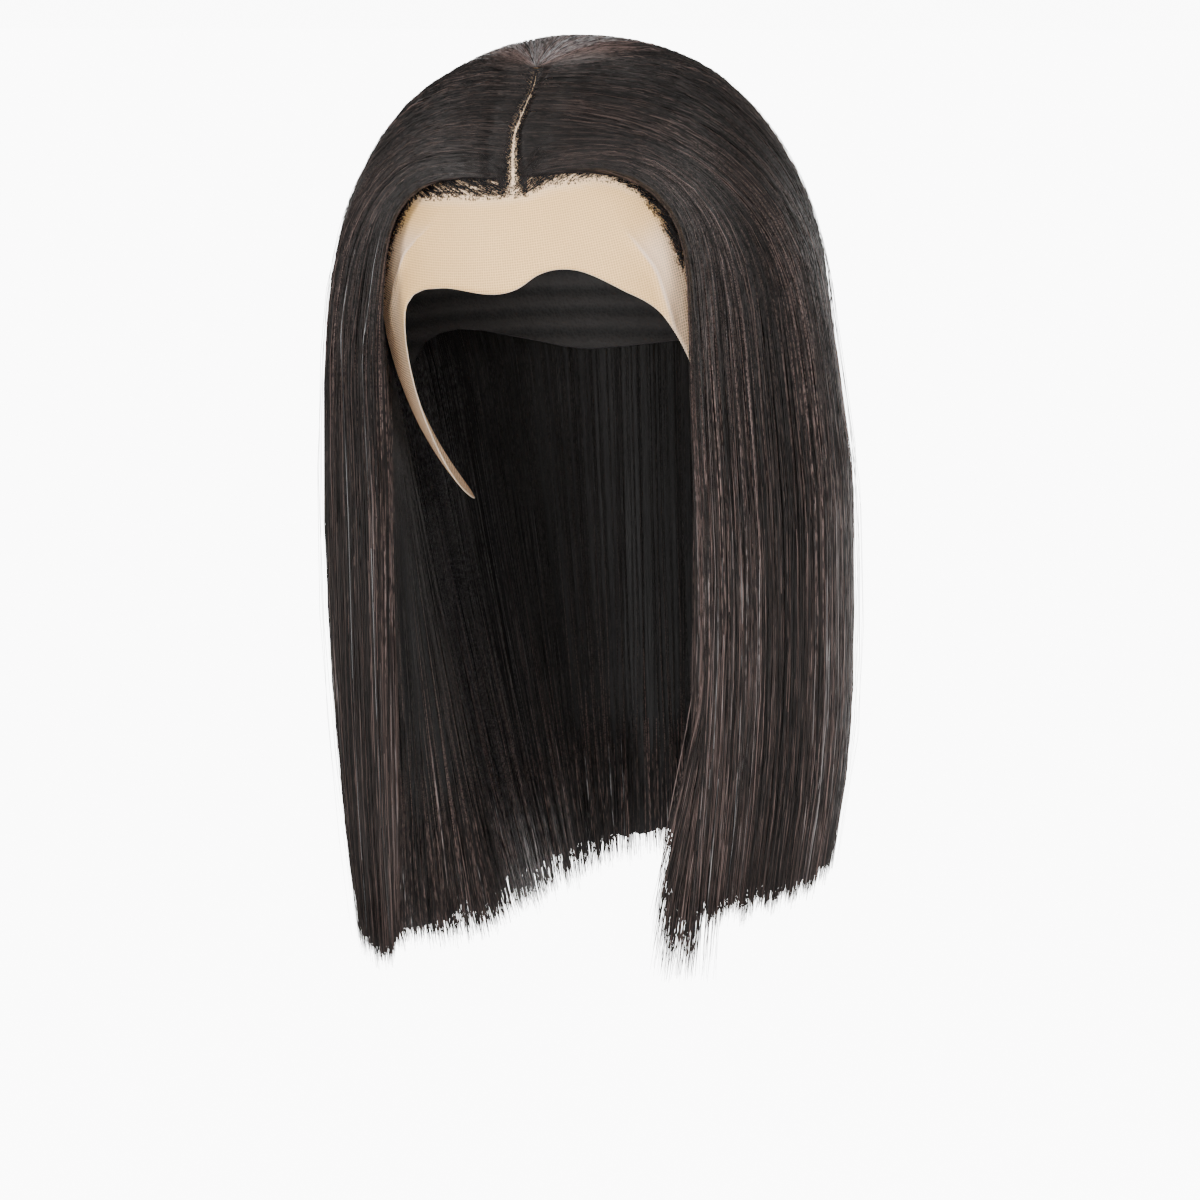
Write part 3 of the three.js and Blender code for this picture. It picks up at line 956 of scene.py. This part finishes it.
# onHead with a lift of its own for each point.
def onScalp(around, down, lift):
    base = onHead(around, down, 0.0)
    out = normalised(base - headCentre)
    return base + out * lift[..., None]


# How far the fringe reaches in over the lace at the temples, in degrees round the head.
def templeShift(around):
    right, left = hairlineLook["templeIn"]
    return np.where(around < 0, -right, left) * smooth(np.abs(around), 40, 54)


# Short fine hairs along the hairline, swept outwards into the hair.
def hairlineStrands():
    rows = hairlineRows
    places = onHead(rows[:, 0], rows[:, 1], 0.0)
    length = lengthAlong(places)
    middle = np.interp(2.2, rows[:, 0], length)
    count = hairlineLook["count"]
    start = rng.uniform(0, length[-1], count)
    side = np.where(start < middle, -1, 1)
    long = rng.uniform(*hairlineLook["long"], count)
    lowered = lerp(hairlineLook["highest"], hairlineLook["lowest"], rng.random(count) ** 1.5)
    long *= lerp(1, 0.45, smooth(lowered, 0, hairlineLook["lowest"]))
    steps = hairlineLook["steps"]
    along = np.linspace(0, 1, steps)[None, :]
    place = np.clip(start[:, None] + side[:, None] * long[:, None] * along * 0.8, 0, length[-1])
    around = np.interp(place, length, rows[:, 0])
    down = np.interp(place, length, rows[:, 1])
    lowered = lowered + hairlineLook["templeDrop"] * smooth(np.abs(around[:, 0]), 44, 58)
    climb = along ** 1.2 * rng.uniform(*hairlineLook["climb"], (count, 1))
    down = down + lowered[:, None] - climb * (long / 0.010)[:, None]
    around = around - templeShift(around[:, :1]) * rng.random((count, 1))
    risen = lerp(0.0010, 0.0026, smooth(-lowered, -1, 3))
    lift = 0.0009 + along * (risen * rng.uniform(0.4, 1, count))[:, None]
    paths = onScalp(around, down, lift)
    width = hairlineLook["width"] * rng.uniform(0.6, 1.3, count)
    layStrands("hairlineHairs", paths, width, 0.55 * rng.random(count))


# Tiny knots that tie the hairs to the lace, along the hairline and both sides of the parting.
def laceKnots():
    rows = hairlineRows
    places = onHead(rows[:, 0], rows[:, 1], 0.0)
    length = lengthAlong(places)
    count = hairlineLook["knotCount"]
    place = rng.uniform(0, length[-1], count)
    around = np.interp(place, length, rows[:, 0])
    down = np.interp(place, length, rows[:, 1]) + rng.uniform(-4, hairlineLook["lowest"] + 0.5, count)
    down += hairlineLook["templeDrop"] * smooth(np.abs(around), 44, 58)
    around = around - templeShift(around) * rng.uniform(0, 1.2, count)
    count = hairlineLook["partKnots"]
    back = rng.random(count)
    side = np.where(rng.random(count) < 0.5, -1.0, 1.0)
    beside = onScalp(partAround(back), lerp(54, hairForm["partRear"], back), np.full(count, 0.0012))
    beside[:, 0] += side * bareHalf(back) * rng.uniform(0.25, 1.25, count)
    knots = np.concatenate([onScalp(around, down, np.full(len(around), 0.0010)), beside])
    slant = rng.normal(0, 0.25, (len(knots), 3)) + np.array([0, 0, -1])
    paths = np.stack([knots, knots + normalised(slant) * 0.0005], 1)
    width = rng.uniform(0.0003, 0.00042, len(knots))
    layStrands("laceKnots", paths, width, np.zeros(len(knots)), taper=1.0)


# Fine hairs that rise from the lace on both sides of the parting.
def partingStrands():
    count = hairlineLook["partCount"]
    side = np.where(rng.random(count) < 0.5, -1.0, 1.0)
    back = rng.random(count)
    first = np.where(side < 0, faceRight, faceLeft)
    turn = side * lerp(first, backTurn, back)
    down = lerp(hairForm["partFront"] + 1.0, hairForm["partRear"], back)
    inside = bareHalf(back) * lerp(1.3, 0.45, rng.random(count) ** 2)
    root = onScalp(partAround(back), down, np.full(count, 0.0011))
    root[:, 0] += side * inside
    shares = np.array([0.02, 0.06, 0.11])
    wide = np.broadcast_to(turn[:, None], (count, 3))
    share = rootShare(turn)[:, None] + shares[None, :] * rng.uniform(0.7, 1.2, (count, 1))
    depth = np.broadcast_to(rng.uniform(-0.02, 0.3, (count, 1)), (count, 3))
    rest = crownPoint(wide, share, depth)
    paths = np.concatenate([root[:, None, :], rest], 1)
    width = hairlineLook["width"] * rng.uniform(0.7, 1.3, count)
    layStrands("partingHairs", paths, width, 0.6 * rng.random(count))


# Hairs that fan out from the rear end of the parting, over the crown, in pale grey shades that fade towards
# the sides: a painted highlight of the light on the crown.
def fanHighlightStrands():
    count = hairlineLook["fanCount"]
    aside = hairlineLook["fanWide"] * rng.random(count) ** 1.4
    turn = signedTurn(180 + np.where(rng.random(count) < 0.5, -aside, aside))
    sideways = smooth(aside, 12, hairlineLook["fanWide"])
    start = rng.uniform(-0.022, 0.03, count)
    long = rng.uniform(0.10, 0.30, count) * lerp(1, 0.35, sideways)
    share = start[:, None] + np.linspace(0, 1, 6)[None, :] * long[:, None]
    depth = np.broadcast_to(rng.uniform(-0.04, 0.02, (count, 1)), share.shape)
    paths = crownPoint(np.broadcast_to(turn[:, None], share.shape), share, depth)
    width = hairlineLook["width"] * rng.uniform(0.8, 1.4, count)
    # Pale shades, fading to the sides: painted highlight.
    shade = rng.uniform(0.86, 1.0, count) * lerp(1, 0.6, sideways)
    layStrands("fanHighlightHairs", paths, width, shade)


hairlineStrands()
laceKnots()
partingStrands()
fanHighlightStrands()
print("hairline and parting laid")

wispLook = {
    "count": 600,
    "spread": 8,
    "inward": 0.018,
    "lowest": -0.374,
    "highest": -0.335,
    "width": 0.00036,
    "flyaways": 220,
    "flyawayWidth": 0.0002,
}


# Thin ends that hang lower and further in at the front of the wearer's left side.
def frontWisps():
    count = wispLook["count"]
    turn = faceLeft + rng.random(count) ** 1.6 * wispLook["spread"]
    depth = rng.uniform(0, 0.5, count)
    level = lerp(wispLook["highest"], wispLook["lowest"], rng.random(count) ** 0.8)
    start = rng.uniform(0.15, 0.6, count)
    fall = lerp(start[:, None], 1, np.linspace(0, 1, 7)[None, :])
    paths = hangPaths(turn, depth, level, fall)
    inward = wispLook["inward"] * rng.random(count) ** 0.8
    paths[..., 0] -= inward[:, None] * smooth(fall, 0.45, 1.05)
    paths = waver(paths, 0.0014, 1, 5)
    width = wispLook["width"] * rng.uniform(0.7, 1.3, count)
    layStrands("frontWisps", paths, width, 0.35 + 0.55 * rng.random(count))


# Single stray hairs that stand off the outside.
def flyaways():
    count = wispLook["flyaways"]
    turn = signedTurn(rng.uniform(faceLeft, 360 - faceRight, count))
    depth = rng.uniform(-0.10, -0.03, count)
    level = hemLevel(turn, depth, 0.006, count)
    paths = strandPaths(turn, depth, level, rng.uniform(0, 0.7, count), 9, 4, rng.uniform(-0.5, 0.5, count))
    paths = waver(paths, 0.0028, 2, 6)
    width = wispLook["flyawayWidth"] * rng.uniform(0.7, 1.3, count)
    layStrands("flyaways", paths, width, rng.random(count))


frontWisps()
flyaways()
print("wisps laid")

# Lace and cap

laceLook = {
    "columns": 150,
    "rows": 42,
    "lift": 0.0004,
    "thickness": 0.0004,
    "seamForward": 0.012,
    "seamCorner": 82,
    "creaseRise": 0.0012,
    "creaseWide": 0.0016,
    "colour": (1.0, 0.645, 0.27),
    "thin": (0.84, 0.47, 0.18),
    "folded": (1.0, 0.76, 0.62),
    # pale: painted light on the lace under the hair's edge, and the tabs' own paler lace.
    "pale": (1.0, 0.71, 0.46),
    "netPitch": 0.00105,
    "edgeThread": 0.00036,
    "picotPitch": 0.0014,
}


# How far down from the top a plane across the head meets it.
def seamDown(around):
    share = laceLook["seamForward"] / (headForm["halfDepth"] * np.cos(np.radians(around)))
    return np.degrees(np.arcsin(np.clip(share, 0, 1)))


# The rise of the lace over its two soft creases, how far outside them each place lies, and how
# much of the crease shows there.
def creaseLift(around, down):
    rise = np.zeros_like(around)
    outside = np.full_like(around, -1.0)
    shown = np.zeros_like(around)
    for crease in creaseRows:
        points = np.array(crease, float)
        at = np.clip(down, points[0, 1], points[-1, 1])
        line = np.interp(at, points[:, 1], points[:, 0])
        away = np.radians(around - line) * headForm["halfWidth"] * np.sin(np.radians(down))
        fade = smooth(down, points[0, 1] - 3, points[0, 1] + 6)
        fade = fade * (1 - smooth(down, points[-1, 1], points[-1, 1] + 6))
        rise += fade * np.exp(-(away / laceLook["creaseWide"]) ** 2)
        nearer = around * points[0, 0] > 0
        outside = np.where(nearer, np.sign(points[0, 0]) * away, outside)
        shown = np.where(nearer, smooth(down, points[0, 1] - 1, points[0, 1] + 9), shown)
    return rise * laceLook["creaseRise"], outside, shown


# Where the lace is made paler: beside and under the hair's edge, as painted light that lifts the hair's
# shade off the lace, and down the tabs, where the lace itself is paler.
def underHairLightAndTabShare(around, down):
    edge = np.interp(around, hairlineRows[:, 0], hairlineRows[:, 1])
    edge = edge + hairlineLook["templeDrop"] * smooth(np.abs(around), 44, 58)
    under = smooth(down - edge, 3.5, 0)
    tab = smooth(np.abs(around), 40, 48) * smooth(down, 62, 80)
    return np.maximum(under, tab)


# Sheer net: thin beige threads round small open cells.
def laceMaterial():
    material, tree, shader = newMaterial("sheerLace")
    link = tree.links.new
    place = addNode(tree, "ShaderNodeUVMap", uv_map="UVMap")
    cells = addNode(tree, "ShaderNodeTexVoronoi", voronoi_dimensions="2D", feature="F1")
    setInputs(cells, Scale=1 / laceLook["netPitch"], Randomness=0.12)
    link(place.outputs["UV"], cells.inputs["Vector"])
    hole = addNode(tree, "ShaderNodeMapRange", interpolation_type="SMOOTHSTEP")
    setRange(hole, 0.30, 0.46)
    link(cells.outputs["Distance"], hole.inputs["Value"])
    patch = addNode(tree, "ShaderNodeTexNoise")
    patch.inputs["Scale"].default_value = 60
    link(place.outputs["UV"], patch.inputs["Vector"])
    tint = rampOf(tree, [
        (0.3, tuple(c * 0.93 for c in laceLook["colour"])),
        (0.7, laceLook["colour"]),
    ])
    link(patch.outputs["Fac"], tint.inputs["Fac"])
    shade = addNode(tree, "ShaderNodeMix", data_type="RGBA")
    shade.inputs[6].default_value = (*laceLook["thin"], 1)
    link(hole.outputs["Result"], shade.inputs[0])
    link(tint.outputs["Color"], shade.inputs[7])
    foldPlace = addNode(tree, "ShaderNodeUVMap", uv_map="fold")
    foldSplit = addNode(tree, "ShaderNodeSeparateXYZ")
    link(foldPlace.outputs["UV"], foldSplit.inputs[0])
    folded = addNode(tree, "ShaderNodeMapRange", interpolation_type="SMOOTHSTEP")
    setRange(folded, -0.0006, 0.0006, 0, 0.55)
    link(foldSplit.outputs["X"], folded.inputs["Value"])
    across = addNode(tree, "ShaderNodeMath", operation="ABSOLUTE")
    link(foldSplit.outputs["X"], across.inputs[0])
    line = addNode(tree, "ShaderNodeMapRange", interpolation_type="SMOOTHSTEP")
    setRange(line, 0.0002, 0.0011, 0.45, 0)
    link(across.outputs["Value"], line.inputs["Value"])
    both = addNode(tree, "ShaderNodeMath", operation="ADD")
    link(folded.outputs["Result"], both.inputs[0])
    link(line.outputs["Result"], both.inputs[1])
    faded = addNode(tree, "ShaderNodeMath", operation="MULTIPLY")
    link(both.outputs["Value"], faded.inputs[0])
    link(foldSplit.outputs["Y"], faded.inputs[1])
    doubled = addNode(tree, "ShaderNodeMix", data_type="RGBA")
    doubled.inputs[7].default_value = (*laceLook["folded"], 1)
    link(faded.outputs["Value"], doubled.inputs[0])
    link(shade.outputs[2], doubled.inputs[6])
    palePlace = addNode(tree, "ShaderNodeUVMap", uv_map="pale")
    paleSplit = addNode(tree, "ShaderNodeSeparateXYZ")
    link(palePlace.outputs["UV"], paleSplit.inputs[0])
    # Paler lace beside and under the hair is painted light lifting the hair's shade; down the tabs it is
    # the lace's own paler colour.
    paler = addNode(tree, "ShaderNodeMix", data_type="RGBA")
    paler.inputs[7].default_value = (*laceLook["pale"], 1)
    link(paleSplit.outputs["X"], paler.inputs[0])
    link(doubled.outputs[2], paler.inputs[6])
    link(paler.outputs[2], shader.inputs["Base Color"])
    split = addNode(tree, "ShaderNodeSeparateXYZ")
    link(place.outputs["UV"], split.inputs[0])
    side = addNode(tree, "ShaderNodeMath", operation="ABSOLUTE")
    link(split.outputs["X"], side.inputs[0])
    sheer = addNode(tree, "ShaderNodeMapRange", interpolation_type="SMOOTHSTEP")
    setRange(sheer, 0.058, 0.072, 0.84, 0.35)
    link(side.outputs["Value"], sheer.inputs["Value"])
    cover = addNode(tree, "ShaderNodeMapRange")
    link(sheer.outputs["Result"], cover.inputs["To Min"])
    cover.inputs["To Max"].default_value = 1.0
    link(hole.outputs["Result"], cover.inputs["Value"])
    link(cover.outputs["Result"], shader.inputs["Alpha"])
    bump = addNode(tree, "ShaderNodeBump")
    setInputs(bump, Strength=0.35, Distance=0.0003)
    link(hole.outputs["Result"], bump.inputs["Height"])
    link(bump.outputs["Normal"], shader.inputs["Normal"])
    shader.inputs["Roughness"].default_value = 0.55
    return material


# The lace front as one thin sheet, creased where it was folded.
def laceSheet():
    sheet, u, v = gridSheet("laceSheet", laceLook["columns"], laceLook["rows"])
    around = lerp(-laceLook["seamCorner"], laceLook["seamCorner"], u)
    down = lerp(seamDown(around), laceEdge(around), v)
    rise, outside, shown = creaseLift(around, down)
    points = onScalp(around, down, laceLook["lift"] + rise)
    placeCorners(sheet, points)
    uv = np.stack([np.radians(around) * headForm["halfWidth"], np.radians(down) * headForm["halfDepth"]], 1)
    index = np.empty(len(sheet.data.loops), dtype=np.int32)
    sheet.data.loops.foreach_get("vertex_index", index)
    sheet.data.uv_layers.active.data.foreach_set("uv", uv[index].ravel())
    fold = sheet.data.uv_layers.new(name="fold")
    fold.data.foreach_set("uv", np.stack([outside, shown], 1)[index].ravel())
    pale = sheet.data.uv_layers.new(name="pale")
    share = underHairLightAndTabShare(around, down)
    pale.data.foreach_set("uv", np.stack([share, share], 1)[index].ravel())
    deselectAll()
    sheet.select_set(True)
    bpy.context.view_layer.objects.active = sheet
    bpy.ops.object.mode_set(mode="EDIT")
    bpy.ops.mesh.select_all(action="SELECT")
    bpy.ops.mesh.normals_make_consistent(inside=False)
    bpy.ops.object.mode_set(mode="OBJECT")
    wall = sheet.modifiers.new("wall", "SOLIDIFY")
    wall.thickness = laceLook["thickness"]
    wall.offset = 0
    bpy.ops.object.modifier_apply(modifier="wall")
    bpy.ops.object.shade_smooth()
    setMaterial(sheet, laceMaterial())
    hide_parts("lace_front")
    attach(sheet, "root")
    return sheet


def threadMaterial():
    material, tree, shader = newMaterial("laceThread")
    shader.inputs["Base Color"].default_value = (0.80, 0.66, 0.54, 1)
    shader.inputs["Roughness"].default_value = 0.6
    return material


# A woven cord along the free edge, with small loops down the tabs.
def edgeThread():
    around = np.linspace(-laceLook["seamCorner"], laceLook["seamCorner"], 900)
    down = laceEdge(around)
    line = onScalp(around, down, np.full_like(around, laceLook["lift"]))
    length = lengthAlong(line)
    even = np.arange(0, length[-1], laceLook["picotPitch"] / 4)
    around = np.interp(even, length, around)
    down = laceEdge(around)
    wave = np.sin(even / laceLook["picotPitch"] * 2 * math.pi)
    tab = smooth(np.abs(around), 40, 48)
    down = down + np.degrees(0.00035 * wave * tab / headForm["halfDepth"])
    path = onScalp(around, down, np.full_like(around, laceLook["lift"]))[None]
    thread = strandMesh("laceEdge", path, np.array([laceLook["edgeThread"]]), np.array([0.5]), taper=1.0)
    setMaterial(thread, threadMaterial())
    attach(thread, "root")
    return thread


lace = laceSheet()
edge = edgeThread()
print("lace made")

capLook = {
    "dark": (0.006, 0.0052, 0.005),
    "light": (0.020, 0.0175, 0.0165),
    "rowPitch": 0.009,
}


# Stretch net with sewn rows of hair across it.
def capMaterial():
    material, tree, shader = newMaterial("capNet")
    link = tree.links.new
    place = addNode(tree, "ShaderNodeTexCoord")
    cells = addNode(tree, "ShaderNodeTexVoronoi", feature="F1")
    cells.inputs["Scale"].default_value = 700
    link(place.outputs["Object"], cells.inputs["Vector"])
    rows = addNode(tree, "ShaderNodeTexWave", wave_type="BANDS", bands_direction="Z")
    setInputs(rows, Scale=0.314 / capLook["rowPitch"], Distortion=0.6)
    link(place.outputs["Object"], rows.inputs["Vector"])
    both = addNode(tree, "ShaderNodeMath", operation="MULTIPLY_ADD")
    both.inputs[1].default_value = 0.45
    link(cells.outputs["Distance"], both.inputs[0])
    link(rows.outputs["Fac"], both.inputs[2])
    tint = rampOf(tree, [(0.2, capLook["dark"]), (1.0, capLook["light"])])
    link(both.outputs["Value"], tint.inputs["Fac"])
    link(tint.outputs["Color"], shader.inputs["Base Color"])
    bump = addNode(tree, "ShaderNodeBump")
    setInputs(bump, Strength=0.6, Distance=0.0008)
    link(both.outputs["Value"], bump.inputs["Height"])
    link(bump.outputs["Normal"], shader.inputs["Normal"])
    shader.inputs["Roughness"].default_value = 0.8
    return material


setMaterial(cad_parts["crown_cap"], capMaterial())
print("cap dressed")

# Studio

cameraLook = {
    "aim": (0.0106, 0.0, -0.232),
    "around": 14,
    "above": 9.5,
    "away": 1.5,
    "lens": 105.75,
}


def placeCamera():
    around, above = math.radians(cameraLook["around"]), math.radians(cameraLook["above"])
    back = np.array([
        math.sin(around) * math.cos(above),
        -math.cos(around) * math.cos(above),
        math.sin(above),
    ])
    place = np.array(cameraLook["aim"]) + back * cameraLook["away"]
    data = bpy.data.cameras.new("camera")
    data.lens = cameraLook["lens"]
    data.sensor_width = 36
    data.clip_end = 1000
    camera = bpy.data.objects.new("camera", data)
    camera.location = place
    camera.rotation_euler = (math.pi / 2 - above, 0, around)
    bpy.context.collection.objects.link(camera)
    bpy.context.scene.camera = camera


def addLight(name, place, size, power, target=(0, 0, -0.15)):
    data = bpy.data.lights.new(name, "AREA")
    data.shape = "RECTANGLE"
    data.size, data.size_y = size
    data.energy = power
    light = bpy.data.objects.new(name, data)
    light.location = place
    toward = np.array(target) - np.array(place)
    flat = math.hypot(toward[0], toward[1])
    light.rotation_euler = (math.pi / 2 + math.atan2(toward[2], flat), 0, math.atan2(-toward[0], toward[1]))
    bpy.context.collection.objects.link(light)


studioLook = {
    "glowBehind": 10.0,
    "glowBefore": 0.35,
    "skyHigh": 0.30,
    "keyLeft": 29,
    "keyRight": 28,
    "fill": 32,
    "top": 10,
}


# Strength that rises along one axis from the front of the studio to the white behind.
def glowByPlace(tree, vector, axis, low, high):
    split = addNode(tree, "ShaderNodeSeparateXYZ")
    tree.links.new(vector, split.inputs[0])
    glow = addNode(tree, "ShaderNodeMapRange", interpolation_type="SMOOTHSTEP")
    setRange(glow, low, high, studioLook["glowBefore"], studioLook["glowBehind"])
    tree.links.new(split.outputs[axis], glow.inputs["Value"])
    return glow.outputs["Result"]


def studio():
    deselectAll()
    bpy.ops.mesh.primitive_plane_add(size=400, location=(0, 0, -1.1))
    floor = bpy.context.active_object
    floor.name = "floor"
    material, tree, shader = newMaterial("paleFloor")
    shader.inputs["Base Color"].default_value = (0.9, 0.9, 0.9, 1)
    shader.inputs["Roughness"].default_value = 0.9
    shader.inputs["Emission Color"].default_value = (1, 1, 1, 1)
    place = addNode(tree, "ShaderNodeTexCoord")
    glow = glowByPlace(tree, place.outputs["Object"], "Y", 0.6, 1.6)
    tree.links.new(glow, shader.inputs["Emission Strength"])
    setMaterial(floor, material)
    world = bpy.data.worlds.new("studio")
    bpy.context.scene.world = world
    world.use_nodes = True
    tree = world.node_tree
    place = addNode(tree, "ShaderNodeTexCoord")
    glow = glowByPlace(tree, place.outputs["Generated"], "Y", 0.35, 0.80)
    split = addNode(tree, "ShaderNodeSeparateXYZ")
    tree.links.new(place.outputs["Generated"], split.inputs[0])
    height = addNode(tree, "ShaderNodeMapRange", interpolation_type="SMOOTHSTEP")
    setRange(height, 0.04, 0.26, 0, 1)
    tree.links.new(split.outputs["Z"], height.inputs["Value"])
    sky = addNode(tree, "ShaderNodeMix", data_type="FLOAT")
    tree.links.new(height.outputs["Result"], sky.inputs[0])
    tree.links.new(glow, sky.inputs[2])
    sky.inputs[3].default_value = studioLook["skyHigh"]
    tree.links.new(sky.outputs[0], tree.nodes["Background"].inputs["Strength"])
    tree.nodes["Background"].inputs["Color"].default_value = (1, 1, 1, 1)
    addLight("keyLeft", (-1.1, -1.25, 0.6), (0.8, 0.8), studioLook["keyLeft"])
    addLight("keyRight", (1.35, -1.05, 0.55), (0.8, 0.8), studioLook["keyRight"])
    addLight("fill", (0.3, -1.9, -0.45), (1.2, 0.8), studioLook["fill"])
    addLight("top", (0.1, -0.1, 1.4), (0.6, 0.6), studioLook["top"])


placeCamera()
studio()
print("studio set")
